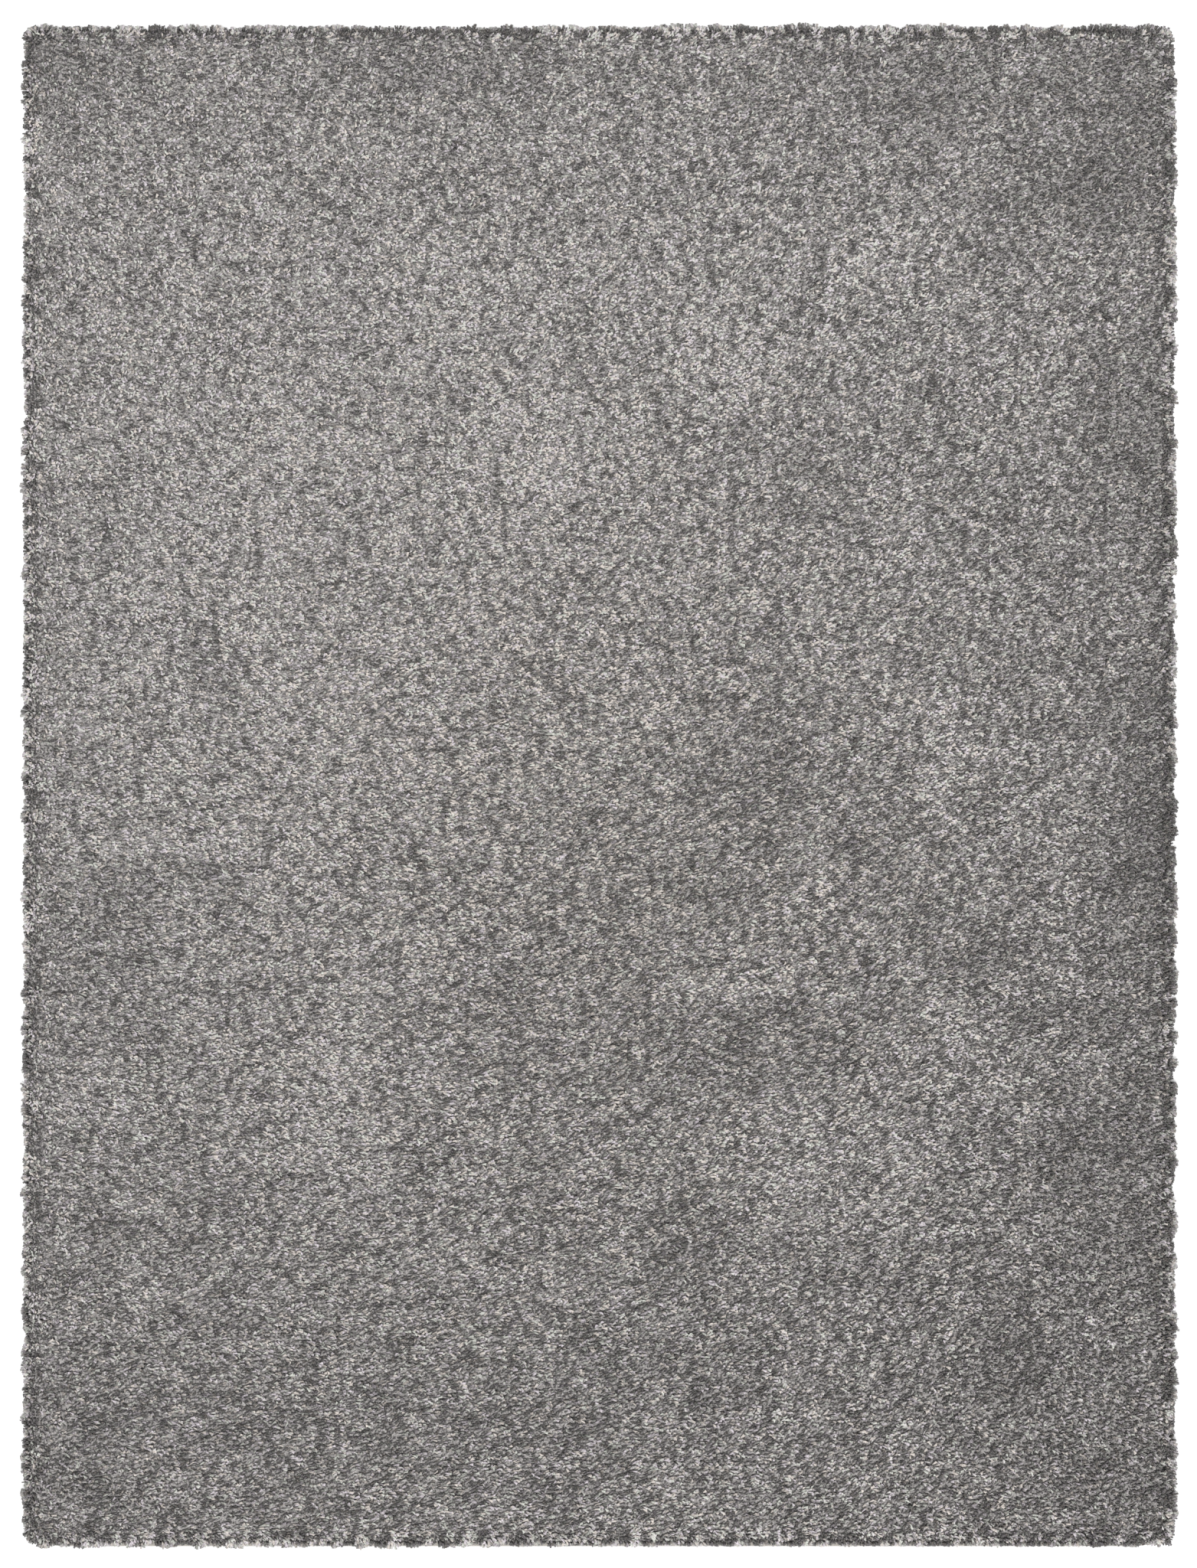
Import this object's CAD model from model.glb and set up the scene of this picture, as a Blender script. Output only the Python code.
"""A flat shag rug: cut tufts of heather yarn on a woven ground cloth with hems."""

import math

import bpy
import numpy as np
from bpy.props import FloatProperty, FloatVectorProperty, IntProperty, PointerProperty
from bpy.types import Operator, Panel, PropertyGroup
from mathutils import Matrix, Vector, noise
from mathutils.bvhtree import BVHTree


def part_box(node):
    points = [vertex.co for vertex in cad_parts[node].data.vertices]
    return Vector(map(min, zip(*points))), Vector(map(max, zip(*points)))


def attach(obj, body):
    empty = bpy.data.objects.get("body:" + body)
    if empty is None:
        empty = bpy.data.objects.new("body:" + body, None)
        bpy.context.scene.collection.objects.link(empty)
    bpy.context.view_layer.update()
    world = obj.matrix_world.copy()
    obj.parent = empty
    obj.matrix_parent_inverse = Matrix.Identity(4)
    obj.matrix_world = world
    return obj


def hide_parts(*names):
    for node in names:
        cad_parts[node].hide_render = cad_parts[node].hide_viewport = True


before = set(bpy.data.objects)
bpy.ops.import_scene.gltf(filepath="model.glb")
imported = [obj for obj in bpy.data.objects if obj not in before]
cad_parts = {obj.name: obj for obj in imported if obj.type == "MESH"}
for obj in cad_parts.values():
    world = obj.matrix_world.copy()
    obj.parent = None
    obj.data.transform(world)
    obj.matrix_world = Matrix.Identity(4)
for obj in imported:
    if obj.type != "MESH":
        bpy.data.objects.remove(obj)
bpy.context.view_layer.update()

bl_info = {
    "name": "Shag rug",
    "version": (1, 0, 0),
    "blender": (4, 5, 0),
    "location": "3D View > Sidebar > Rug",
    "description": "Makes a cut-pile shag rug over its packed model",
    "category": "Object",
}

CLOTH_LOW, CLOTH_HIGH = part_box("backing")

# The rectangle that the pile's rim follows, the furthest that a tip may lie, and the
# radii of the bed's corners by their signs in x and y.
HALF_WIDTH = 0.800
HALF_LENGTH = 1.056
FAR_X = 0.8062
FAR_Y = 1.0614
CORNER_RADII = {(-1, -1): 0.011, (1, -1): 0.001, (-1, 1): 0.013, (1, 1): 0.009}

# Where the cloth's near hem shows past the tufts, in x, and how gradually; how far in
# and by how much tufts are trimmed for it, and the share that isn't; and how ragged
# the tips' limit is at both ends.
HEM_SHOWN = (-0.150, 0.750)
HEM_FADE = 0.02
HEM_REACH = 0.08
HEM_TRIM = 0.0066
HEM_STRAYS = 0.03
RAGGED = 0.0006

# The bed of packed yarn that the tufts stand on: its half sizes, its rim and cells,
# its height against the pile's, its edge, and the room round the cloth's own edge.
BED_X = HALF_WIDTH - 0.0067
BED_Y = HALF_LENGTH - 0.0067
BED_RIM = (0.0, 0.002, 0.005, 0.009, 0.014, 0.020, 0.028)
BED_CELL = 0.0145
BED_SHARE = 0.66
BED_ROUNDING = 0.020
BED_EDGE_HEIGHT = 0.0035
BED_GAP = 0.0003
BED_UNDERSIDE = 0.0008
BED_SMOOTHING = 5
CLOTH_CLEARANCE = 0.0015
CORNER_SOFTNESS = 0.016

# The nap lies across the rug and rises a little to the right: less towards the far
# end, more to the right of the middle, and less again by the right side. Near the rim
# it turns outward, and at the very edge it hangs down.
STREAK_RISE = math.radians(7)
STREAK_TURN = math.radians(7)
STREAK_TILT = math.radians(18)
STREAK_FALL = math.radians(20)
TURNING_ROOM = 0.030
OUTWARD_FROM = 0.013
DROOP_WITHIN = 0.006

# How steeply tufts stand: all over, and what curl, the way to the right side and
# chance add. At the rim they go from hanging to standing.
RISE = 0.85
RISE_WITH_CURL = 0.25
RISE_TO_RIGHT = 0.25
RISE_BY_CHANCE = 0.20
RIM_RISE = (-0.25, 1.20)

# By the left side the nap's own lean is weaker.
LEFT_LOOSENING = 0.55
LEFT_LOOSE_WITHIN = 0.10

# The tufts' pieces: strips across the rug, and a closer planting along its rim.
TUFT_STRIPS = 5
RIM_PLANTING = 0.015

# The settings that feed the planting's inputs.
PLANTING_SIZES = (
    "spacing", "crowding", "length", "unevenness", "tip_width", "stray", "twist",
    "lock_size", "gather", "lock_unevenness", "lock_depth", "lock_shade", "blend",
    "clump", "clump_size", "mottling", "rim_order", "rim_shortening",
)

# The lock pattern's scale along x and y, which makes locks a bit longer along x, and
# the range of the tufts' widths.
LOCK_SCALE = (0.9, 1.1)
TUFT_WIDTHS = (0.70, 1.25)

# Tips stay this far over the cloth, and may drop this much past its edge.
TIP_CLEARANCE = 0.0005
TIP_DROP = 0.0022
TIP_DROP_WITHIN = 0.004

# How a tuft's hue, tone, side and height are laid on its yarn pattern.
TONE_SPAN = 0.20
SIDE_SPAN = 0.004
PLY_ACROSS = 300.0
HUES_APART = 40.0
HUES = [
    (0.00, (1.00, 1.00, 1.00)),
    (0.25, (1.00, 0.955, 1.035)),
    (0.50, (0.965, 1.02, 0.955)),
    (0.75, (1.05, 1.00, 0.945)),
]

# Where the yarn is a little warmer: (x, y, reach along x, reach along y).
WARM_SPOT = (0.0, -0.05, 0.45, 0.50)

# Broad patches where the nap looks lighter or darker:
# (x, y, reach along x, reach along y, how much).
PATCHES = [
    (-0.22, 0.52, 0.489, 0.447, 0.42), (-0.62, 0.40, 0.22, 0.48, 0.30),
    (-0.41, 0.05, 0.255, 0.277, 0.35), (-0.38, -0.44, 0.117, 0.128, 0.60),
    (0.27, -0.50, 0.15, 0.08, 0.45), (0.37, 0.72, 0.075, 0.075, 0.65),
    (0.18, 0.58, 0.09, 0.06, 0.70), (-0.11, 0.47, 0.085, 0.085, 0.55),
    (-0.10, 0.42, 0.09, 0.016, 0.45), (-0.44, 0.46, 0.026, 0.11, 0.75),
    (-0.20, 0.72, 0.05, 0.09, 0.35), (-0.60, -0.08, 0.085, 0.022, 0.70),
    (0.47, -0.33, 0.036, 0.05, 0.65), (0.19, -0.27, 0.10, 0.017, 0.60),
    (-0.68, -0.43, 0.05, 0.04, 0.50), (0.49, 0.09, 0.064, 0.045, 0.45),
    (-0.02, 0.06, 0.12, 0.016, 0.35), (-0.27, 0.03, 0.03, 0.03, 0.35),
    (0.41, -0.55, 0.045, 0.075, 0.35), (0.56, 0.60, 0.05, 0.06, 0.30),
    (0.79, 0.03, 0.07, 1.277, -0.65), (0.75, -0.06, 0.075, 0.18, -0.50),
    (0.64, 0.82, 0.10, 0.04, -0.80), (0.70, 0.95, 0.10, 0.106, -0.60),
    (0.44, 0.96, 0.19, 0.06, -0.45), (-0.74, 0.99, 0.11, 0.06, -0.65),
    (-0.22, 0.99, 0.192, 0.034, -0.55), (0.72, 0.52, 0.06, 0.09, -0.55),
    (0.66, 0.35, 0.09, 0.02, -0.45), (-0.55, 0.13, 0.028, 0.075, -0.75),
    (-0.54, -0.13, 0.03, 0.035, -0.45), (0.57, -0.82, 0.10, 0.06, -0.75),
    (0.68, -0.96, 0.11, 0.09, -0.70), (0.68, -0.75, 0.16, 0.35, -0.15),
    (0.60, -0.70, 0.12, 0.018, -0.45), (0.67, -0.50, 0.07, 0.03, -0.75),
    (0.53, -0.23, 0.075, 0.026, -0.70), (0.64, -0.32, 0.10, 0.017, -0.75),
    (0.74, -0.13, 0.06, 0.022, -0.70), (0.72, -0.55, 0.07, 0.12, -0.30),
    (0.52, 0.18, 0.075, 0.032, -0.55), (0.22, 0.02, 0.12, 0.05, -0.45),
    (0.20, -0.36, 0.11, 0.06, -0.45), (0.14, -0.12, 0.025, 0.16, -0.35),
    (0.12, -0.62, 0.11, 0.06, -0.40), (0.05, -0.18, 0.20, 0.10, -0.15),
    (0.62, -0.64, 0.16, 0.17, -0.25), (0.00, -0.87, 0.809, 0.16, -0.16),
    (-0.73, -0.95, 0.128, 0.128, -0.40), (-0.73, -0.62, 0.06, 0.06, -0.40),
    (-0.70, -0.15, 0.08, 0.03, -0.45), (0.30, 0.42, 0.075, 0.09, -0.25),
    (-0.16, -0.32, 0.15, 0.04, -0.25), (-0.80, 0.03, 0.018, 1.40, -0.40),
    (0.00, 1.06, 0.90, 0.02, -0.60), (0.66, 0.25, 0.16, 0.80, -0.17),
    (0.00, 0.92, 0.90, 0.15, -0.14),
]

# The hem's underside, going outward: (place past its inner edge, height). The steps
# are the cut edge and the groove that the seam pulls in.
HEM_STEPS = (
    (0.0030, 0.0), (0.0022, 0.0008), (0.0006, 0.0008), (0.0, 0.0),
    (-0.0030, 0.0), (-0.0034, 0.0008), (-0.0046, 0.0008), (-0.0050, 0.0),
)
FOLD_ROUNDING = 0.0013
SEAM_INSET = 0.004
SEAM_HEIGHT = 0.0004
STITCH_WIDTH = 0.0009
STITCH_THICKNESS = 0.0006
STITCH_SHARE = 0.72

# Over this length at each end the cloth's corners are drawn in.
CORNER_REACH = 0.1

# Rows of yarn backs keep this far from the cloth's sides and from its hems.
BACKS_FROM_SIDE = 0.010
BACKS_FROM_HEM = 0.004
BACKS_SHARPNESS = 400.0

# The picture's height in pixels, a pixel's size at the rug's outline, the outline's
# height over the floor, and the place under the camera.
PICTURE_HEIGHT = 2048
PIXEL = 1.064e-3
OUTLINE_HEIGHT = 0.004
LOOKED_AT = (-0.0011, 0.0032)

# The camera's sensor in millimetres, the floor's half size, and its drop.
SENSOR = 36.0
FLOOR_HALF = 20
FLOOR_DROP = 0.0004


def arithmetic(operation):
    """An operator of Wire and its reflected form, which add a Math node."""

    def plain(self, other):
        return self.maths(operation, other)

    def reflected(self, other):
        return self.graph.node("ShaderNodeMath", {"operation": operation}, other, self)

    return plain, reflected


class Wire:
    """One output socket; arithmetic on it adds Math nodes to its tree."""

    def __init__(self, graph, socket):
        self.graph = graph
        self.socket = socket

    def maths(self, operation, *others):
        settings = {"operation": operation}
        return self.graph.node("ShaderNodeMath", settings, self, *others)

    __add__, __radd__ = arithmetic("ADD")
    __sub__, __rsub__ = arithmetic("SUBTRACT")
    __mul__, __rmul__ = arithmetic("MULTIPLY")
    __truediv__, __rtruediv__ = arithmetic("DIVIDE")

    def at_least(self, low):
        return self.maths("MAXIMUM", low)

    def at_most(self, high):
        return self.maths("MINIMUM", high)

    def kept(self, low, high):
        return self.at_least(low).at_most(high)


class Graph:
    """Adds nodes to one node tree."""

    def __init__(self, tree):
        self.tree = tree

    def node(self, kind, settings=None, *values, output=None, **named):
        """Adds a node: its settings first, then its sockets by place or by name."""
        row, column = divmod(len(self.tree.nodes), 12)
        node = self.tree.nodes.new(kind)
        node.location = (200 * column, -260 * row)
        for name, value in (settings or {}).items():
            if name == "stops":
                self.set_stops(node.color_ramp, value)
            elif name == "steps":
                self.set_stops(node.color_ramp, value)
                node.color_ramp.interpolation = "CONSTANT"
            else:
                setattr(node, name, value)
        shown = [socket for socket in node.inputs if socket.enabled]
        for socket, value in zip(shown, values):
            self.feed(socket, value)
        for name, value in named.items():
            title = name.replace("_", " ")
            self.feed(next(s for s in shown if s.name == title), value)
        outputs = [socket for socket in node.outputs if socket.enabled]
        if not outputs:
            return node
        wire = Wire(self, outputs[0])
        return self.also(wire, output) if output else wire

    def feed(self, socket, value):
        if isinstance(value, Wire):
            self.tree.links.new(value.socket, socket)
        elif value is not None:
            socket.default_value = value

    @staticmethod
    def set_stops(ramp, stops):
        """Lays a ramp's stops, which are (place, colour) pairs."""
        while len(ramp.elements) < len(stops):
            ramp.elements.new(1.0)
        for element, (place, colour) in zip(ramp.elements, stops):
            element.position = place
            element.color = rgba(colour)

    def also(self, wire, name):
        """Another output of the node that a wire comes from."""
        outputs = [s for s in wire.socket.node.outputs if s.enabled and s.name == name]
        return Wire(self, outputs[0])

    def parts(self, vector):
        x = self.node("ShaderNodeSeparateXYZ", None, vector)
        return x, self.also(x, "Y"), self.also(x, "Z")

    def join(self, x, y, z):
        return self.node("ShaderNodeCombineXYZ", None, x, y, z)

    def vector(self, operation, *values, **named):
        settings = {"operation": operation}
        return self.node("ShaderNodeVectorMath", settings, *values, **named)

    def mix(self, factor, first, second, blend="MIX"):
        settings = {"data_type": "RGBA", "blend_type": blend}
        return self.node("ShaderNodeMix", settings, factor, first, second)

    def place(self):
        return self.node("ShaderNodeTexCoord", None, output="Object")

    def ramp(self, factor, stops, kind="stops"):
        return self.node("ShaderNodeValToRGB", {kind: stops}, factor)

    def noise(self, vector, scale, detail, roughness=0.5):
        named = {"Vector": vector, "Scale": scale, "Detail": detail}
        return self.node("ShaderNodeTexNoise", None, Roughness=roughness, **named)

    def bump(self, height, strength, distance):
        return self.node("ShaderNodeBump", None, strength, distance, Height=height)


def rgba(colour):
    return (*tuple(colour)[:3], 1.0)


def shaded(colour, share):
    return [share * channel for channel in colour]


def label(setting):
    """The name of the tree's input that a setting feeds."""
    return setting.replace("_", " ").title()


def a_number(name, description, default, low=0.0, **more):
    """A number that the user may change."""
    return FloatProperty(
        name=name, description=description, default=default, min=low, **more
    )


def a_length(name, description, default, low=0.001):
    return a_number(name, description, default, low, unit="LENGTH")


def a_share(name, description, default, low=0.0, high=1.0):
    return a_number(name, description, default, low, max=high, subtype="FACTOR")


def a_colour(name, description, default):
    return FloatVectorProperty(
        name=name, description=description, default=default, subtype="COLOR", size=3
    )


class PileSettings(PropertyGroup):
    """What the pile is made of and how its tufts lie"""

    spacing: a_length(
        "Tuft Spacing", "The least distance between the feet of two tufts", 0.0026
    )
    crowding: a_number(
        "Crowding", "How many tufts are tried on a square metre", 190000.0, low=1000.0
    )
    rim_spacing: a_length(
        "Rim Spacing", "The least distance between two tufts added at the rim", 0.0021
    )
    rim_crowding: a_number(
        "Rim Crowding", "How many more are tried there", 300000.0, low=1000.0
    )
    rim_order: a_share(
        "Rim Order", "How much less the rim's tufts stray and differ in length", 0.20
    )
    rim_shortening: a_share(
        "Rim Shortening", "How much shorter tufts are at the rim", 0.30, high=0.9
    )
    length: a_length(
        "Tuft Length", "Length of a tuft above the bed, on average", 0.0110, low=0.002
    )
    unevenness: a_share(
        "Unevenness", "How far tufts differ in length, as a share of it", 0.22, high=0.9
    )
    tip_width: a_length("Tip Width", "Width of a tuft's cut tip", 0.0034, low=0.0005)
    upright: a_number(
        "Upright", "How steeply tufts stand: their rise over their lean", 1.05, max=5.0
    )
    stray: a_number(
        "Stray", "How far single tufts stray from the nap's direction", 0.88, max=1.5
    )
    swirl: a_number(
        "Swirl", "How far the nap wanders between neighbouring places", 0.22, max=2.0
    )
    twist: a_number(
        "Twist",
        "How far a tuft may turn about its own length",
        math.radians(55),
        subtype="ANGLE",
    )
    lock_size: a_length(
        "Lock Size", "Width of a lock, in which tufts lean together", 0.0135, low=0.004
    )
    gather: a_share(
        "Gather", "How far tips are drawn to the middle of their lock", 0.90
    )
    lock_unevenness: a_share(
        "Lock Unevenness", "How far locks differ in length", 0.80, high=0.9
    )
    lock_depth: a_share(
        "Lock Depth", "How much shorter tufts are at their lock's edge", 0.60
    )
    lock_shade: a_number(
        "Lock Shade", "How much darker tufts are at their lock's edge", 1.60, max=3.0
    )
    blend: a_number("Blend", "How far single tufts differ in tone", 0.10, max=0.5)
    clump: a_number(
        "Clump Contrast", "How strongly neighbouring tufts share a tone", 2.2
    )
    clump_size: a_length(
        "Clump Size", "Size of the largest clumps that share a tone", 0.033
    )
    mottling: a_share("Mottling", "How strongly broad patches differ in tone", 0.52)
    fleck: a_number("Fleck", "How strongly the plies of one tuft differ in tone", 1.6)
    ply_along: a_number(
        "Plies Along", "How many times the plies change along a tuft", 8.0
    )
    foot: a_share(
        "Foot Shade", "How light a tuft is at its foot, as a share of its tip", 0.08
    )
    foot_end: a_share(
        "Foot Height", "Share of a tuft's length over which it lightens", 1.0, low=0.01
    )
    pale: a_colour("Pale Yarn", "Colour of the palest strands", (0.925, 0.892, 0.876))
    middle: a_colour(
        "Middle Yarn", "Colour of the strands between", (0.545, 0.522, 0.510)
    )
    dark: a_colour("Dark Yarn", "Colour of the darkest strands", (0.098, 0.092, 0.090))
    seed: IntProperty(name="Seed", description="Chooses the random draws", default=11)


class ClothSettings(PropertyGroup):
    """What the ground cloth is made of and how its ends are hemmed"""

    hem_width: a_length(
        "Hem Width", "How much cloth is turned under at each end", 0.030, low=0.010
    )
    corner: a_length("Corner Radius", "Radius of the cloth's four corners", 0.034)
    colour: a_colour(
        "Cloth Colour", "Colour of the woven ground cloth", (0.52, 0.49, 0.45)
    )
    weave: a_length(
        "Weave Pitch", "Distance between the cloth's threads", 0.0030, low=0.0005
    )
    row: a_length(
        "Row Pitch", "Distance between the rows of yarn backs", 0.0085, low=0.002
    )
    thread: a_colour(
        "Thread Colour", "Colour of the hem's stitching", (0.42, 0.40, 0.38)
    )
    stitch: a_length(
        "Stitch Pitch", "Length of one hem stitch with the space after it", 0.0065
    )
    seed: IntProperty(name="Seed", description="Chooses the random draws", default=5)


class StageSettings(PropertyGroup):
    """Floor, light and camera"""

    height: a_length(
        "Camera Height", "Height of the camera over the floor", 5.5, low=1.0
    )
    floor: a_colour("Floor Colour", "Colour of the floor", (0.94, 0.94, 0.94))
    sky: a_number("Soft Light", "Strength of the light from all round", 0.80)
    lamp: a_number("Lamp", "Strength of the lamp above", 2.00)
    softness: a_number(
        "Lamp Softness",
        "How wide the lamp looks from the rug",
        math.radians(18),
        subtype="ANGLE",
    )
    towards: FloatVectorProperty(
        name="Lamp Direction",
        description="The direction of the lamp, seen from the rug",
        default=(-0.03, -0.20, 1.0),
        subtype="DIRECTION",
        size=3,
    )


def smooth_step(value):
    value = np.clip(value, 0.0, 1.0)
    return value * value * (3.0 - 2.0 * value)


def stations(half):
    """Places along one axis of the bed: close at the rim, even between."""
    inner = half - BED_RIM[-1]
    cells = round(2 * inner / BED_CELL)
    rim = [half - inset for inset in BED_RIM[:-1]]
    middle = np.linspace(-inner, inner, cells + 1)
    return np.array([-x for x in rim] + list(middle) + rim[::-1])


def round_corners(x, y):
    """Draws the bed's four corners in to quarter circles; x and y change in place."""
    for (side_x, side_y), radius in CORNER_RADII.items():
        across = np.clip(side_x * x - (BED_X - radius), 0.0, None)
        along = np.clip(side_y * y - (BED_Y - radius), 0.0, None)
        inside = (across > 0) & (along > 0)
        ease = np.maximum(across, along) / np.maximum(np.hypot(across, along), 1e-9)
        x[:] = np.where(inside, side_x * (BED_X - radius + across * ease), x)
        y[:] = np.where(inside, side_y * (BED_Y - radius + along * ease), y)


def from_rim(x, y, softness):
    """Distance in from the bed's rim, and the direction that points straight out."""
    gap_x = BED_X - np.abs(x)
    gap_y = BED_Y - np.abs(y)
    pull_x = np.clip(softness - gap_x, 0.0, None)
    pull_y = np.clip(softness - gap_y, 0.0, None)
    pull = np.hypot(pull_x, pull_y)
    depth = np.where(pull > 0, softness - pull, np.minimum(gap_x, gap_y))
    pull = np.maximum(pull, 1e-9)
    return depth, np.sign(x) * pull_x / pull, np.sign(y) * pull_y / pull


def pile_heights(x, y):
    """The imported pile's top at each place, or just inside its rim, softened."""
    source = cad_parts["pile"].data
    source.calc_loop_triangles()
    tree = BVHTree.FromPolygons(
        [v.co for v in source.vertices], [t.vertices[:] for t in source.loop_triangles]
    )
    near_x = np.clip(x, TURNING_ROOM - BED_X, BED_X - TURNING_ROOM)
    near_y = np.clip(y, TURNING_ROOM - BED_Y, BED_Y - TURNING_ROOM)
    tops = np.zeros_like(x)
    for place in np.ndindex(*x.shape):
        above = Vector((near_x[place], near_y[place], 1.0))
        tops[place] = tree.ray_cast(above, Vector((0, 0, -1)))[0].z
    for _ in range(BED_SMOOTHING):
        wide = np.pad(tops, 1, mode="edge")
        around = wide[:-2, 1:-1] + wide[2:, 1:-1] + wide[1:-1, :-2] + wide[1:-1, 2:]
        tops = (4 * tops + around) / 8
    return tops


def patch_tone(x, y):
    """How much lighter or darker the nap looks at each place."""
    tone = np.zeros_like(x)
    for at_x, at_y, reach_x, reach_y, strength in PATCHES:
        off = ((x - at_x) / reach_x) ** 2 + ((y - at_y) / reach_y) ** 2
        tone += strength * np.exp(-off)
    return tone


def wander(x, y, scale, layer):
    """Smooth noise over the rug, from about -1 to 1, with scale waves to a metre."""
    places = zip(x * scale, y * scale)
    return np.array([noise.noise(Vector((a, b, layer))) for a, b in places])


def curl(x, y):
    """How curly the pile is at each place, from 0 where it is combed to 1."""
    far = 0.9 * smooth_step((y + 0.1) / 0.95)
    right = 0.6 * smooth_step((x - 0.35) / 0.4)
    corner = 0.8 * smooth_step((-y - 0.5) / 0.4) * smooth_step((x + 0.1) / 0.6)
    patchy = 0.25 * wander(x, y, scale=7.0, layer=9.5)
    return np.clip(far + right + corner + patchy, 0.0, 1.0)


def nap_lean(x, y, settings):
    """The direction that the nap lies in at each place, and how near the rim it is."""
    _, out_x, out_y = from_rim(x, y, TURNING_ROOM)
    depth, _, _ = from_rim(x, y, CORNER_SOFTNESS)
    tilt = STREAK_TILT * x / HALF_WIDTH * np.clip((y + 1.0) / 1.5, 0.25, 1.0)
    tilt += STREAK_RISE - STREAK_TURN * y - STREAK_FALL * smooth_step((x - 0.35) / 0.35)
    tilt += settings.swirl * wander(x, y, scale=6.0, layer=1.5)
    upright = RISE + RISE_WITH_CURL * curl(x, y) + RISE_TO_RIGHT * x / HALF_WIDTH
    upright += RISE_BY_CHANCE * wander(x, y, scale=9.0, layer=4.5)
    upright *= settings.upright
    near_left = smooth_step(1.0 - (x + HALF_WIDTH) / LEFT_LOOSE_WITHIN)
    loose = 1.0 - LEFT_LOOSENING * near_left
    parting = depth * (1.0 + 0.45 * wander(x, y, scale=28.0, layer=8.5))
    rim = smooth_step(1.0 - parting / OUTWARD_FROM)
    hanging, standing = RIM_RISE
    rise = (standing - hanging) * np.clip(depth / DROOP_WITHIN, 0.0, 1.0)
    lean = [
        loose * np.cos(tilt) * (1 - rim) + out_x * rim,
        loose * np.sin(tilt) * (1 - rim) + out_y * rim,
        upright * (1 - rim) + (hanging + rise) * rim,
    ]
    return np.stack(lean, axis=1), rim


def bed_grid(settings):
    """The bed's top: its shape as a grid, its places, and what the tufts read there."""
    grid_x, grid_y = np.meshgrid(stations(BED_X), stations(BED_Y))
    round_corners(grid_x, grid_y)
    tops = pile_heights(grid_x, grid_y).ravel()
    x, y = grid_x.ravel(), grid_y.ravel()

    depth, _, _ = from_rim(x, y, CORNER_SOFTNESS)
    swell = np.sqrt(1.0 - (1.0 - np.clip(depth / BED_ROUNDING, 0.0, 1.0)) ** 2)
    under = CLOTH_HIGH.z + BED_GAP
    full = BED_SHARE * (tops - under)
    z = under + BED_EDGE_HEIGHT + (full - BED_EDGE_HEIGHT) * swell

    lean, rim = nap_lean(x, y, settings)
    at_hem = smooth_step((x - HEM_SHOWN[0]) / HEM_FADE)
    at_hem = at_hem * smooth_step((HEM_SHOWN[1] - x) / HEM_FADE)
    at_hem = at_hem * (y < HEM_REACH - HALF_LENGTH)
    coarse = 0.15 * wander(0.6 * x, y, scale=7.0, layer=2.5)
    fine = 0.30 * wander(x, 0.7 * y, scale=14.0, layer=3.5)
    tone = patch_tone(x, y) + (coarse + fine)
    warm_x, warm_y, reach_x, reach_y = WARM_SPOT
    off = ((x - warm_x) / reach_x) ** 2 + ((y - warm_y) / reach_y) ** 2
    return {
        "shape": grid_x.shape,
        "place": np.stack([x, y, z], axis=1),
        "lean": lean,
        "rim": rim,
        "patch": tone,
        "warm": np.exp(-off),
        "at_hem": at_hem,
        "depth": depth,
        "curl": curl(x, y),
    }


def mesh_object(name, points, faces, smooth=False):
    mesh = bpy.data.meshes.new(name)
    mesh.from_pydata([tuple(p) for p in points], [], faces)
    mesh.polygons.foreach_set("use_smooth", [smooth] * len(mesh.polygons))
    mesh.update()
    piece = bpy.data.objects.new(name, mesh)
    bpy.context.scene.collection.objects.link(piece)
    return piece


def grid_faces(shape, first_row=0, last_row=None):
    rows, columns = shape
    last_row = rows - 1 if last_row is None else last_row
    faces = []
    for row in range(first_row, last_row):
        for start in range(row * columns, row * columns + columns - 1):
            faces.append((start, start + 1, start + columns + 1, start + columns))
    return faces


def tube_faces(rings, count):
    """The faces of a closed tube through rings that have count points each."""
    last = (rings - 1) * count
    faces = []
    for start in range(0, last, count):
        for place in range(count):
            here, ahead = start + place, start + (place + 1) % count
            faces.append((here, ahead, ahead + count, here + count))
    return faces + [tuple(reversed(range(count))), tuple(range(last, last + count))]


def rim_loop(shape):
    """Vertex numbers round the grid's edge, anticlockwise seen from above."""
    grid = np.arange(shape[0] * shape[1]).reshape(shape)
    sides = grid[0], grid[1:, -1], grid[-1, -2::-1], grid[-2:0:-1, 0]
    return np.concatenate(sides).tolist()


def rim_folded_down(rim):
    """Rings that close the bed: down past the cloth's edge, in to it, and over it."""
    x, y = rim[:, 0], rim[:, 1]
    under = CLOTH_HIGH.z + BED_GAP
    past = np.maximum(np.abs(x) - CLOTH_HIGH.x, y - CLOTH_HIGH.y)
    past = np.maximum(past, CLOTH_LOW.y - y) - CLOTH_CLEARANCE
    low = under - (under - BED_UNDERSIDE) * np.clip(past / 0.003, 0.0, 1.0)
    side = CLOTH_HIGH.x + CLOTH_CLEARANCE
    ends = CLOTH_LOW.y - CLOTH_CLEARANCE, CLOTH_HIGH.y + CLOTH_CLEARANCE
    inner_x = np.clip(0.9990 * x, -side, side)
    inner_y = np.clip(0.9992 * y, *ends)
    yield np.stack([x, y, low], axis=1)
    yield np.stack([inner_x, inner_y, low], axis=1)
    yield np.stack([0.9995 * inner_x, 0.9995 * inner_y, 0 * x + under], axis=1)


def add_attribute(mesh, name, values, kind="FLOAT"):
    field = "vector" if kind == "FLOAT_VECTOR" else "value"
    layer = mesh.attributes.new(name, kind, "POINT")
    layer.data.foreach_set(field, np.asarray(values, dtype=np.float32).ravel())


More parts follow.
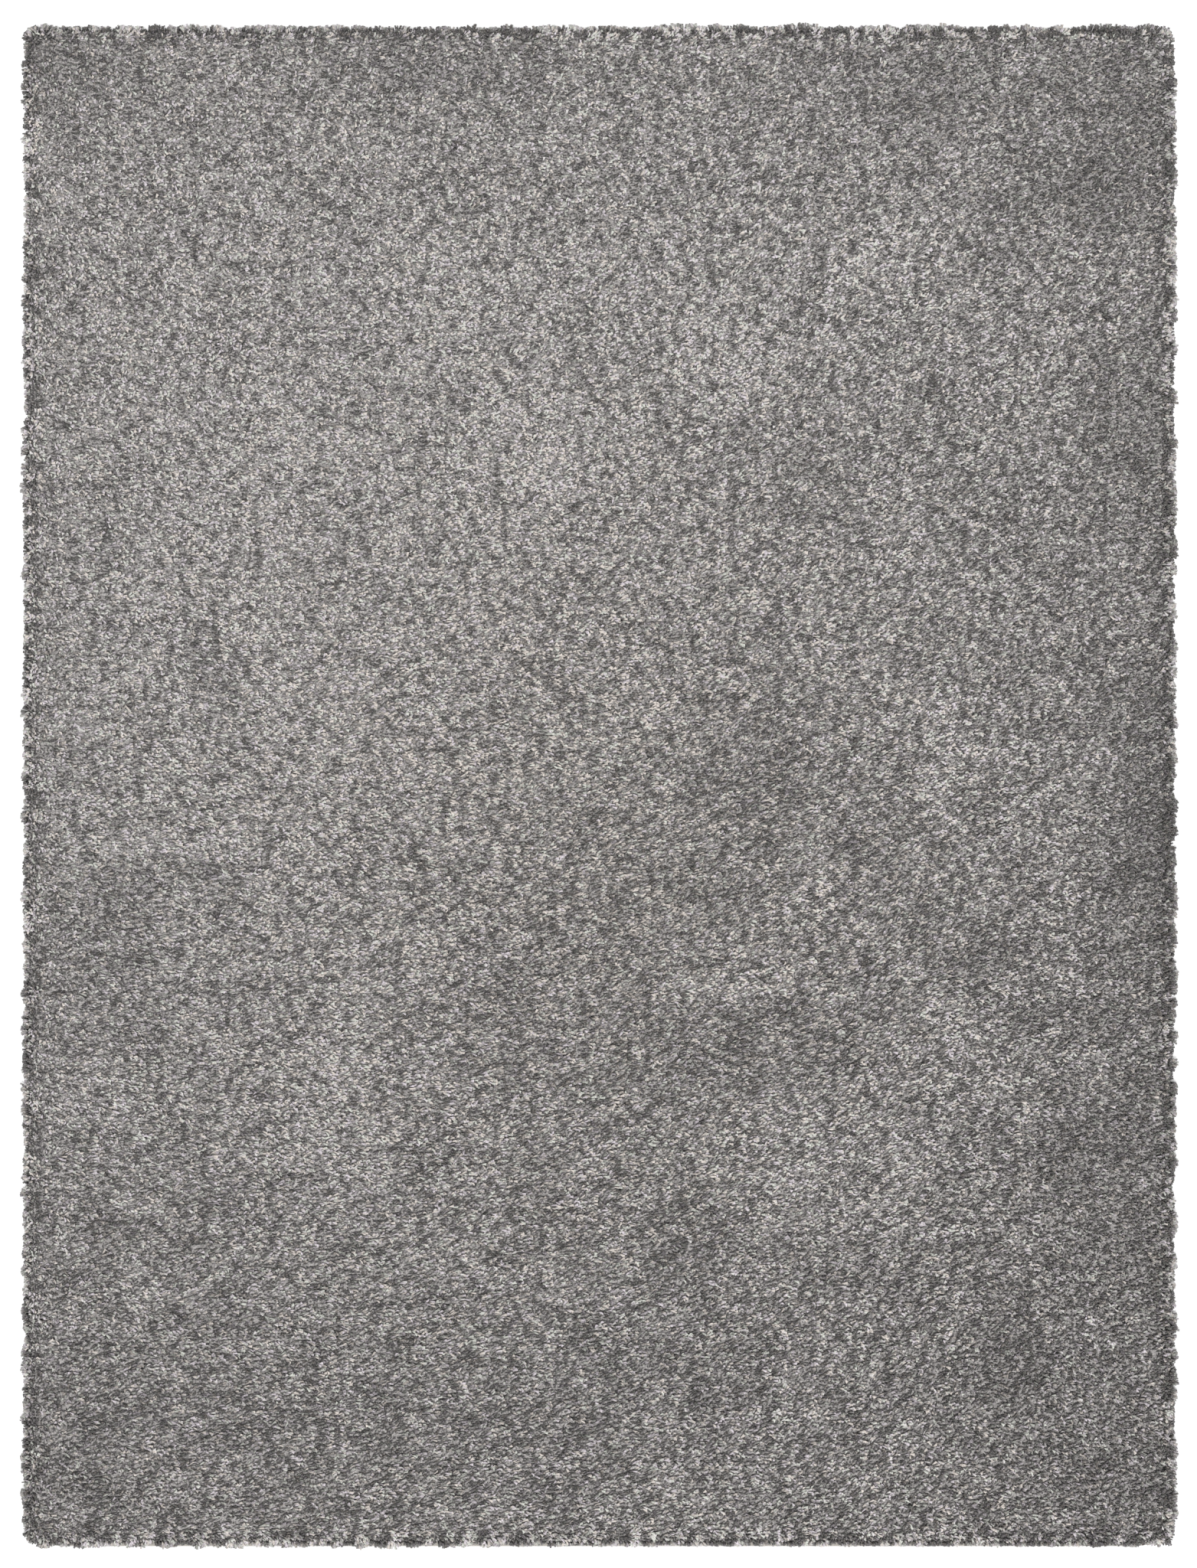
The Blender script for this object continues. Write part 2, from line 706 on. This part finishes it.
def as_mesh(piece):
    """Swaps a piece's modifiers for their result, without its empty material slots."""
    graph = bpy.context.evaluated_depsgraph_get()
    mesh = bpy.data.meshes.new_from_object(piece.evaluated_get(graph))
    for slot in reversed(range(len(mesh.materials))):
        if mesh.materials[slot] is None:
            mesh.materials.pop(index=slot)
    piece.modifiers.clear()
    old = piece.data
    piece.data = mesh
    bpy.data.meshes.remove(old)
    mesh.name = piece.name


def finish_piece(piece, node):
    """Every shown piece rides on the rug's one body and stands for a CAD node."""
    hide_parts(node)
    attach(piece, "root")


def start_material(name):
    material = bpy.data.materials.new(name)
    material.use_nodes = True
    material.node_tree.nodes.clear()
    return material, Graph(material.node_tree)


def close_material(graph, colour, roughness, normal=None, sheen=0.0, specular=0.2):
    shader = graph.node(
        "ShaderNodeBsdfPrincipled",
        None,
        Base_Color=colour,
        Roughness=roughness,
        Specular_IOR_Level=specular,
        Sheen_Weight=sheen,
        Normal=normal,
    )
    graph.node("ShaderNodeOutputMaterial", None, Surface=shader)


def yarn_material(settings):
    """Heather yarn: a tone for each tuft, plies in it, a faint hue, and dark feet."""
    material, graph = start_material("heather yarn")

    def read(name):
        settings = {"attribute_name": name}
        return graph.node("ShaderNodeAttribute", settings, output="Fac")

    tone, hue, along = read("tone"), read("hue"), read("along")
    across = tone * TONE_SPAN + read("side") * SIDE_SPAN
    strands = graph.join(
        across * PLY_ACROSS, along * settings.ply_along, hue * HUES_APART
    )
    ply = graph.noise(strands, scale=1.0, detail=1.0)
    tones = [(0.0, settings.dark), (0.5, settings.middle), (1.0, settings.pale)]
    strand = graph.ramp(tone + (ply - 0.5) * settings.fleck, tones)
    tint = graph.ramp(hue, HUES, "steps")
    feet = [(0.0, (settings.foot,) * 3), (settings.foot_end, (1.0,) * 3)]
    depth = graph.ramp(along, feet)
    colour = graph.mix(1.0, strand, tint, "MULTIPLY")
    colour = graph.mix(1.0, colour, depth, "MULTIPLY")
    close_material(graph, colour, roughness=0.88, sheen=0.15, specular=0.15)
    return material


def bed_material(settings):
    """Packed yarn seen down between the tufts."""
    material, graph = start_material("packed yarn")
    spot = graph.place()
    speckle = graph.noise(spot, scale=420.0, detail=3.0, roughness=0.6)
    stops = [(0.35, shaded(settings.dark, 1.4)), (0.75, shaded(settings.middle, 1.2))]
    colour = graph.ramp(speckle, stops)
    bump = graph.bump(speckle, strength=0.6, distance=0.002)
    close_material(graph, colour, roughness=0.95, normal=bump, specular=0.1)
    return material


def cloth_material(settings, pile):
    """Plain weave, with the backs of the yarn in rows between the hems."""
    material, graph = start_material("woven ground cloth")
    spot = graph.place()
    x, y, _ = graph.parts(spot)
    rate = 2 * math.pi / settings.weave
    weave = (x * rate).maths("SINE") * (y * rate).maths("SINE") * 0.5 + 0.5
    fibre = graph.noise(spot, scale=900.0, detail=2.0, roughness=0.6)
    deep = rgba(shaded(settings.colour, 0.62))
    cloth = graph.mix(weave * 0.6 + fibre * 0.4, deep, rgba(settings.colour))

    row = x / settings.row
    loop = y / (0.75 * settings.row) + row.maths("FLOOR") * 0.5
    ridge = (1.3 - (row.maths("FRACT") - 0.5).maths("ABSOLUTE") * 4.0).kept(0.0, 1.0)
    swell = (1.5 - (loop.maths("FRACT") - 0.5).maths("ABSOLUTE") * 3.2).kept(0.0, 1.0)
    side = (CLOTH_HIGH.x - BACKS_FROM_SIDE) - x.maths("ABSOLUTE")
    low = y - (CLOTH_LOW.y + settings.hem_width + BACKS_FROM_HEM)
    high = (CLOTH_HIGH.y - settings.hem_width - BACKS_FROM_HEM) - y
    backs = ridge * swell
    for inside in (side, low, high):
        backs = backs * (inside * BACKS_SHARPNESS).kept(0.0, 1.0)
    pick = graph.node(
        "ShaderNodeTexWhiteNoise",
        {"noise_dimensions": "2D"},
        graph.join(row.maths("FLOOR"), loop.maths("FLOOR"), 0.0),
        output="Value",
    )
    tones = [(0.0, pile.dark), (0.5, pile.middle), (1.0, pile.pale)]
    yarn = graph.ramp(pick * 0.6 + fibre * 0.5, tones)
    colour = graph.mix(backs, cloth, yarn)
    height = weave * 0.3 + fibre * 0.2 + backs
    bump = graph.bump(height, strength=0.6, distance=0.0015)
    close_material(graph, colour, roughness=0.92, normal=bump, specular=0.15)
    return material


def thread_material(settings):
    """Plied sewing thread."""
    material, graph = start_material("hem thread")
    spot = graph.place()
    x, y, _ = graph.parts(spot)
    ply = ((x + y * 1.5) * (2 * math.pi / 0.0011)).maths("SINE") * 0.5 + 0.5
    deep = rgba(shaded(settings.thread, 0.6))
    colour = graph.mix(ply, deep, rgba(settings.thread))
    bump = graph.bump(ply, strength=0.5, distance=0.0002)
    close_material(graph, colour, roughness=0.70, normal=bump, sheen=0.1)
    return material


class Tree(Graph):
    """A Geometry Nodes tree with named inputs and one geometry output."""

    def __init__(self, name, inputs):
        super().__init__(bpy.data.node_groups.new(name, "GeometryNodeTree"))
        socket = self.tree.interface.new_socket
        for title, kind in inputs.items():
            socket(name=title, in_out="INPUT", socket_type="NodeSocket" + kind)
        socket(name="Result", in_out="OUTPUT", socket_type="NodeSocketGeometry")
        self.inputs = self.node("NodeGroupInput")

    def given(self, name):
        return self.also(self.inputs, name)

    def attribute(self, name, kind="FLOAT"):
        return self.node("GeometryNodeInputNamedAttribute", {"data_type": kind}, name)

    def random(self, low, high, draw, kind="FLOAT"):
        seed = self.given("Seed") * 31.0 + float(draw)
        named = {"Min": low, "Max": high, "Seed": seed}
        return self.node("FunctionNodeRandomValue", {"data_type": kind}, **named)

    def store(self, geometry, name, value, kind="FLOAT", domain="POINT"):
        settings = {"data_type": kind, "domain": domain}
        named = {"Geometry": geometry, "Name": name, "Value": value}
        return self.node("GeometryNodeStoreNamedAttribute", settings, **named)

    def copies(self, pattern, points, turn, size=None):
        """A copy of a pattern at each point, as an instance."""
        pattern = self.given(pattern)
        shape = self.node("GeometryNodeObjectInfo", None, pattern, output="Geometry")
        named = {"Instance": shape, "Rotation": turn, "Scale": size}
        return self.node("GeometryNodeInstanceOnPoints", None, points, **named)

    def finish(self, instances, material, change=None):
        """Realizes the instances, changes the result, and gives it its material."""
        result = self.node("GeometryNodeRealizeInstances", None, instances)
        if change:
            result = change(result)
        kind = "GeometryNodeSetMaterial"
        result = self.node(kind, None, Geometry=result, Material=material)
        self.node("NodeGroupOutput", None, result)

    def run(self, piece, values):
        """Runs the tree on a piece and leaves its result as a plain mesh."""
        modifier = piece.modifiers.new(self.tree.name, "NODES")
        modifier.node_group = self.tree
        for item in self.tree.interface.items_tree:
            if item.in_out == "INPUT" and item.name in values:
                modifier[item.identifier] = values[item.name]
        as_mesh(piece)


class Planting(Tree):
    """Plants tufts on a strip of the bed."""

    def __init__(self):
        inputs = {"Bed": "Geometry", "Tuft": "Object", "Yarn": "Material"}
        inputs |= dict.fromkeys(map(label, PLANTING_SIZES), "Float")
        super().__init__("Plant tufts", inputs | {"Hem Trim": "Float", "Seed": "Int"})
        self.spot = self.node("GeometryNodeInputPosition")
        self.scaled = self.vector("MULTIPLY", self.spot, (*LOCK_SCALE, 0.0))
        self.lock = self.node(
            "ShaderNodeTexVoronoi",
            {"voronoi_dimensions": "2D", "feature": "F1"},
            Vector=self.scaled,
            Scale=1.0 / self.given("Lock Size"),
            output="Position",
        )
        off = self.also(self.lock, "Distance")
        self.edge = (off * off * 2.0).at_most(1.0)
        self.disorder = 1.0 - self.attribute("rim") * self.given("Rim Order")
        tufts = self.copies("Tuft", self.feet(), self.turned(), self.size())
        self.finish(tufts, self.given("Yarn"), self.laid)

    def feet(self):
        """Places for the tufts, with each one's tone, hue and limit at the hem."""
        feet = self.node(
            "GeometryNodeDistributePointsOnFaces",
            {"distribute_method": "POISSON"},
            Mesh=self.given("Bed"),
            Distance_Min=self.given("Spacing"),
            Density_Max=self.given("Crowding"),
            Seed=self.given("Seed"),
        )
        level = self.vector("MULTIPLY", self.spot, (0.6, 1.0, 0.0))
        clumps = self.noise(level, 1.0 / self.given("Clump Size"), 3.0, 0.75)
        tone = 0.5 + self.random(-1.0, 1.0, 5) * self.given("Blend")
        tone = tone + (clumps - 0.5) * self.given("Clump")
        tone = tone + self.attribute("patch") * self.given("Mottling")
        shade = self.given("Lock Shade") * (0.9 + self.attribute("curl") * 0.3)
        tone = tone + (0.3 - self.edge) * shade
        feet = self.store(feet, "tone", tone.kept(0.0, 1.0))
        pick = self.random(0.0, 1.0, 6) + self.attribute("warm") * 0.35
        hue = (pick.kept(0.0, 0.99) * 4.0).maths("FLOOR") * 0.25 + 0.05
        feet = self.store(feet, "hue", hue)
        trim = self.given("Hem Trim") * self.attribute("at_hem")
        trim = trim * self.random(0.0, 1.0, 8).maths("GREATER_THAN", HEM_STRAYS)
        limit = trim + self.random(-RAGGED, RAGGED, 7) - FAR_Y
        return self.store(feet, "limit", limit)

    def turned(self):
        """The turn that lays a tuft along the nap with its tip level."""
        astray = self.random((-1, -1, -0.6), (1, 1, 0.6), 1, "FLOAT_VECTOR")
        stray = self.given("Stray") * (0.70 + self.attribute("curl") * 0.40)
        astray = self.vector("SCALE", astray, Scale=stray * self.disorder)
        heading = self.vector("ADD", self.attribute("lean", "FLOAT_VECTOR"), astray)
        drawn = self.given("Gather") / self.given("Length")
        drawn = drawn * (0.4 + self.attribute("curl") * 0.2)
        middle = self.vector("SUBTRACT", self.lock, self.scaled)
        back = [1.0 / scale for scale in LOCK_SCALE]
        middle = self.vector("MULTIPLY", middle, (*back, 0.0))
        heading = self.vector("ADD", heading, self.vector("SCALE", middle, Scale=drawn))
        x, y, z = self.parts(heading)
        level = (x * x + y * y).maths("SQRT")
        turn = self.join(0.0, level.maths("ARCTAN2", z), y.maths("ARCTAN2", x))
        spin = self.join(0.0, 0.0, self.random(-1.0, 1.0, 2) * self.given("Twist"))
        return self.node(
            "FunctionNodeRotateRotation",
            {"rotation_space": "LOCAL"},
            self.node("FunctionNodeEulerToRotation", None, turn),
            self.node("FunctionNodeEulerToRotation", None, spin),
        )

    def size(self):
        """(width, width, length) of a tuft."""
        rim = self.attribute("rim")
        lock = self.parts(self.also(self.lock, "Color"))[0] - 0.5
        edge = 0.3 - self.edge
        uneven = self.random(-1.0, 1.0, 3) * self.given("Unevenness")
        uneven = 1.0 + uneven * self.disorder
        uneven = uneven + lock * self.given("Lock Unevenness") * (0.6 + rim * 0.4)
        uneven = uneven + edge * self.given("Lock Depth") * (1.0 - rim * 0.25)
        length = self.given("Length") * (1.0 - rim * self.given("Rim Shortening"))
        width = self.given("Tip Width") * self.random(*TUFT_WIDTHS, 4)
        return self.join(width, width, length * uneven)

    def laid(self, tufts):
        """Keeps tips over floor and cloth and inside the outline, and maps the yarn."""
        x, y, z = self.parts(self.node("GeometryNodeInputPosition"))
        past = x.maths("ABSOLUTE") - (CLOTH_HIGH.x + CLOTH_CLEARANCE)
        past = past.at_least(y - (CLOTH_HIGH.y + CLOTH_CLEARANCE))
        past = past.at_least((CLOTH_LOW.y - CLOTH_CLEARANCE) - y)
        drop = (past / TIP_DROP_WITHIN).kept(0.0, 1.0) * TIP_DROP
        lowest = CLOTH_HIGH.z + TIP_CLEARANCE - drop
        place = self.join(
            x.kept(-FAR_X, FAR_X),
            y.at_least(self.attribute("limit")).at_most(FAR_Y),
            z.at_least(lowest),
        )
        kind = "GeometryNodeSetPosition"
        tufts = self.node(kind, None, Geometry=tufts, Position=place)
        across = self.attribute("tone") * TONE_SPAN + self.attribute("side") * SIDE_SPAN
        u = self.attribute("hue") - 0.03 + across
        v = self.attribute("along") * 0.96 + 0.02
        return self.store(tufts, "OFBake", self.join(u, v, 0.0), "FLOAT2", "CORNER")


class Seam(Tree):
    """Sews a row of stitches along each edge of its mesh."""

    def __init__(self):
        inputs = {
            "Seam": "Geometry", "Stitch": "Object", "Thread": "Material",
            "Pitch": "Float", "Skew": "Float", "Seed": "Int",
        }
        super().__init__("Sew seams", inputs)
        line = self.node("GeometryNodeMeshToCurve", None, self.given("Seam"))
        named = {"Curve": line, "Length": self.given("Pitch")}
        line = self.node("GeometryNodeResampleCurve", {"mode": "LENGTH"}, **named)
        skew = self.join(0.0, 0.0, self.random(-1.0, 1.0, 1) * self.given("Skew"))
        turn = self.node("FunctionNodeEulerToRotation", None, skew)
        self.finish(self.copies("Stitch", line, turn), self.given("Thread"))


def tuft_pattern():
    """One tuft: an upright foot edge and a level cut tip, four triangles, closed."""
    points = [(-0.35, 0, 0), (0.35, 0, 0), (0, -0.5, 1), (0, 0.5, 1)]
    faces = [(0, 3, 1), (1, 2, 0), (2, 1, 3), (3, 0, 2)]
    tuft = mesh_object("tuft pattern", points, faces, smooth=True)
    add_attribute(tuft.data, "along", [0, 0, 1, 1])
    add_attribute(tuft.data, "side", [-1, 1, -1, 1])
    return tuft


def stitch_pattern(length):
    """One stitch along X: a closed six-sided rod with drawn-in ends."""
    points = []
    rings, sides = ((-0.5, 0.35), (-0.36, 1.0), (0.36, 1.0), (0.5, 0.35)), 6
    for place, girth in rings:
        for corner in range(sides):
            angle = corner * math.pi / 3
            across = 0.5 * STITCH_WIDTH * girth * math.cos(angle)
            up = 0.5 * STITCH_THICKNESS * girth * math.sin(angle)
            points.append((place * length, across, up))
    faces = tube_faces(len(rings), sides)
    return mesh_object("stitch pattern", points, faces, smooth=True)


def tuft_names():
    return [f"tufts_{strip + 1}" for strip in range(TUFT_STRIPS)] + ["tufts_rim"]


class RUG_OT_lay_bed(Operator):
    """Lays the bed of packed yarn that the tufts stand in"""

    bl_idname = "rug.lay_bed"
    bl_label = "Lay Pile Bed"

    def execute(self, context):
        grid = bed_grid(context.scene.rug_pile)
        loop = rim_loop(grid["shape"])
        points = list(grid["place"])
        faces = grid_faces(grid["shape"])
        for ring in rim_folded_down(grid["place"][loop]):
            start = len(points)
            points += list(ring)
            for here in range(len(loop)):
                ahead = (here + 1) % len(loop)
                faces.append((loop[ahead], loop[here], start + here, start + ahead))
            loop = range(start, len(points))
        faces.append(tuple(reversed(loop)))
        bed = mesh_object("pile_bed", points, faces, smooth=True)
        bed.data.materials.append(bed_material(context.scene.rug_pile))
        finish_piece(bed, "pile")
        return {"FINISHED"}


class RUG_OT_plant_tufts(Operator):
    """Plants the cut tufts over the bed, in strips across the rug and along its rim"""

    bl_idname = "rug.plant_tufts"
    bl_label = "Plant Tufts"

    def execute(self, context):
        settings = context.scene.rug_pile
        grid = bed_grid(settings)
        planting = Planting()
        pattern = tuft_pattern()
        values = {label(name): getattr(settings, name) for name in PLANTING_SIZES}
        values |= {"Tuft": pattern, "Yarn": yarn_material(settings)}
        values["Hem Trim"] = HEM_TRIM
        last_row = grid["shape"][0] - 1
        rows = np.linspace(0, last_row, TUFT_STRIPS + 1).round().astype(int)
        near = grid["depth"] < RIM_PLANTING
        for strip, name in enumerate(tuft_names()):
            if strip < TUFT_STRIPS:
                faces = grid_faces(grid["shape"], rows[strip], rows[strip + 1])
            else:
                faces = [f for f in grid_faces(grid["shape"]) if near[list(f)].all()]
                values["Spacing"] = settings.rim_spacing
                values["Crowding"] = settings.rim_crowding
            piece = mesh_object(name, grid["place"], faces)
            add_attribute(piece.data, "lean", grid["lean"], "FLOAT_VECTOR")
            for field in ("rim", "patch", "warm", "at_hem", "curl"):
                add_attribute(piece.data, field, grid[field])
            planting.run(piece, values | {"Seed": settings.seed + strip})
            finish_piece(piece, "pile")
        bpy.data.objects.remove(pattern)
        return {"FINISHED"}


class RUG_OT_sew_hems(Operator):
    """Sews the turned hem at each end of the ground cloth"""

    bl_idname = "rug.sew_hems"
    bl_label = "Sew Hems"

    def execute(self, context):
        settings = context.scene.rug_cloth
        seam = settings.hem_width - SEAM_INSET
        side = CLOTH_HIGH.x - settings.corner
        lines = CLOTH_LOW.y + seam, CLOTH_HIGH.y - seam
        points = [(x, y, SEAM_HEIGHT) for y in lines for x in (-side, side)]
        piece = mesh_object("hem_stitches", points, [])
        piece.data.edges.add(2)
        piece.data.edges.foreach_set("vertices", [0, 1, 2, 3])
        piece.data.update()
        pattern = stitch_pattern(STITCH_SHARE * settings.stitch)
        values = {
            "Stitch": pattern,
            "Thread": thread_material(settings),
            "Pitch": settings.stitch,
            "Skew": math.radians(4),
            "Seed": settings.seed,
        }
        Seam().run(piece, values)
        bpy.data.objects.remove(pattern)
        finish_piece(piece, "backing")
        return {"FINISHED"}


def cloth_profile(settings):
    """(y, z) points of the cloth's long section, anticlockwise seen from +X."""
    thick = CLOTH_HIGH.z

    def end(edge, facing):
        """The hem's steps and its fold, going outward."""
        outline = [(settings.hem_width + step, z) for step, z in HEM_STEPS]
        for turn in range(-90, 91, 30):
            inset = FOLD_ROUNDING - FOLD_ROUNDING * math.cos(math.radians(turn))
            z = thick / 2 + thick / 2 * math.sin(math.radians(turn))
            outline.append((inset, z))
        return [(edge - facing * inset, z) for inset, z in outline]

    middle = np.linspace(CLOTH_LOW.y + 0.05, CLOTH_HIGH.y - 0.05, 60)
    under = [(y, 0.0) for y in middle]
    over = [(y, thick) for y in middle[::-1]]
    return under + end(CLOTH_HIGH.y, 1) + over + end(CLOTH_LOW.y, -1)[::-1]


class RUG_OT_lay_cloth(Operator):
    """Lays the woven ground cloth with a turned hem at each end"""

    bl_idname = "rug.lay_cloth"
    bl_label = "Lay Ground Cloth"

    def execute(self, context):
        settings = context.scene.rug_cloth
        profile = cloth_profile(settings)
        corner = settings.corner
        half = CLOTH_HIGH.x
        turns = np.linspace(0, math.pi / 2, 7)
        side = [
            (half - corner * (1 - math.cos(turn)), corner * (1 - math.sin(turn)))
            for turn in turns
        ]
        inner = half - corner
        middle = [(x, 0.0) for x in np.linspace(-inner, inner, 46)[1:-1]]
        sections = [(-x, drawn) for x, drawn in side] + middle + side[::-1]
        points = []
        for x, drawn in sections:
            for y, z in profile:
                near = max(0.0, 1.0 - (CLOTH_HIGH.y - y) / CORNER_REACH)
                near -= max(0.0, 1.0 - (y - CLOTH_LOW.y) / CORNER_REACH)
                points.append((x, y - drawn * near, z))
        faces = tube_faces(len(sections), len(profile))
        cloth = mesh_object("ground_cloth", points, faces)
        cloth.data.materials.append(cloth_material(settings, context.scene.rug_pile))
        finish_piece(cloth, "backing")
        return {"FINISHED"}


class RUG_OT_set_stage(Operator):
    """Sets the floor, the soft light and the camera straight overhead"""

    bl_idname = "rug.set_stage"
    bl_label = "Set Stage"

    def execute(self, context):
        settings = context.scene.rug_stage
        scene = context.scene
        corners = [(-1, -1), (1, -1), (1, 1), (-1, 1)]
        points = [(x * FLOOR_HALF, y * FLOOR_HALF, -FLOOR_DROP) for x, y in corners]
        floor = mesh_object("floor", points, [(0, 1, 2, 3)])
        material, graph = start_material("pale floor")
        close_material(graph, rgba(settings.floor), roughness=0.9, specular=0.0)
        floor.data.materials.append(material)

        world = bpy.data.worlds.new("studio")
        world.use_nodes = True
        background = world.node_tree.nodes["Background"]
        background.inputs["Color"].default_value = (1.0, 1.0, 1.0, 1.0)
        background.inputs["Strength"].default_value = settings.sky
        scene.world = world

        lamp = bpy.data.lights.new("lamp", "SUN")
        lamp.energy = settings.lamp
        lamp.angle = settings.softness
        holder = bpy.data.objects.new("lamp", lamp)
        towards = Vector(settings.towards)
        holder.rotation_euler = towards.to_track_quat("Z", "Y").to_euler()
        scene.collection.objects.link(holder)

        camera = bpy.data.cameras.new("camera")
        camera.sensor_width = SENSOR
        shown_height = PICTURE_HEIGHT * PIXEL
        camera.lens = SENSOR * (settings.height - OUTLINE_HEIGHT) / shown_height
        stand = bpy.data.objects.new("camera", camera)
        stand.location = (*LOOKED_AT, settings.height)
        scene.collection.objects.link(stand)
        scene.camera = stand
        scene.view_settings.view_transform = "Standard"
        return {"FINISHED"}


class RUG_PT_panel(Panel):
    """Lists the rug's settings and steps"""

    bl_idname = "RUG_PT_panel"
    bl_label = "Shag Rug"
    bl_space_type = "VIEW_3D"
    bl_region_type = "UI"
    bl_category = "Rug"

    def draw(self, context):
        for group in GROUPS:
            settings = getattr(context.scene, group)
            box = self.layout.box()
            for name in settings.__annotations__:
                box.prop(settings, name)
        for operator in OPERATORS:
            self.layout.operator(operator.bl_idname)


GROUPS = {
    "rug_pile": PileSettings,
    "rug_cloth": ClothSettings,
    "rug_stage": StageSettings,
}
OPERATORS = (
    RUG_OT_lay_bed, RUG_OT_plant_tufts, RUG_OT_sew_hems, RUG_OT_lay_cloth,
    RUG_OT_set_stage,
)


def register():
    for kind in (*GROUPS.values(), *OPERATORS, RUG_PT_panel):
        bpy.utils.register_class(kind)
    for name, kind in GROUPS.items():
        setattr(bpy.types.Scene, name, PointerProperty(type=kind))


def unregister():
    for name in GROUPS:
        delattr(bpy.types.Scene, name)
    for kind in reversed((*GROUPS.values(), *OPERATORS, RUG_PT_panel)):
        bpy.utils.unregister_class(kind)


def main():
    register()
    bpy.ops.rug.lay_bed()
    bpy.ops.rug.plant_tufts()
    bpy.ops.rug.sew_hems()
    bpy.ops.rug.lay_cloth()
    bpy.ops.rug.set_stage()


if __name__ == "__main__":
    main()
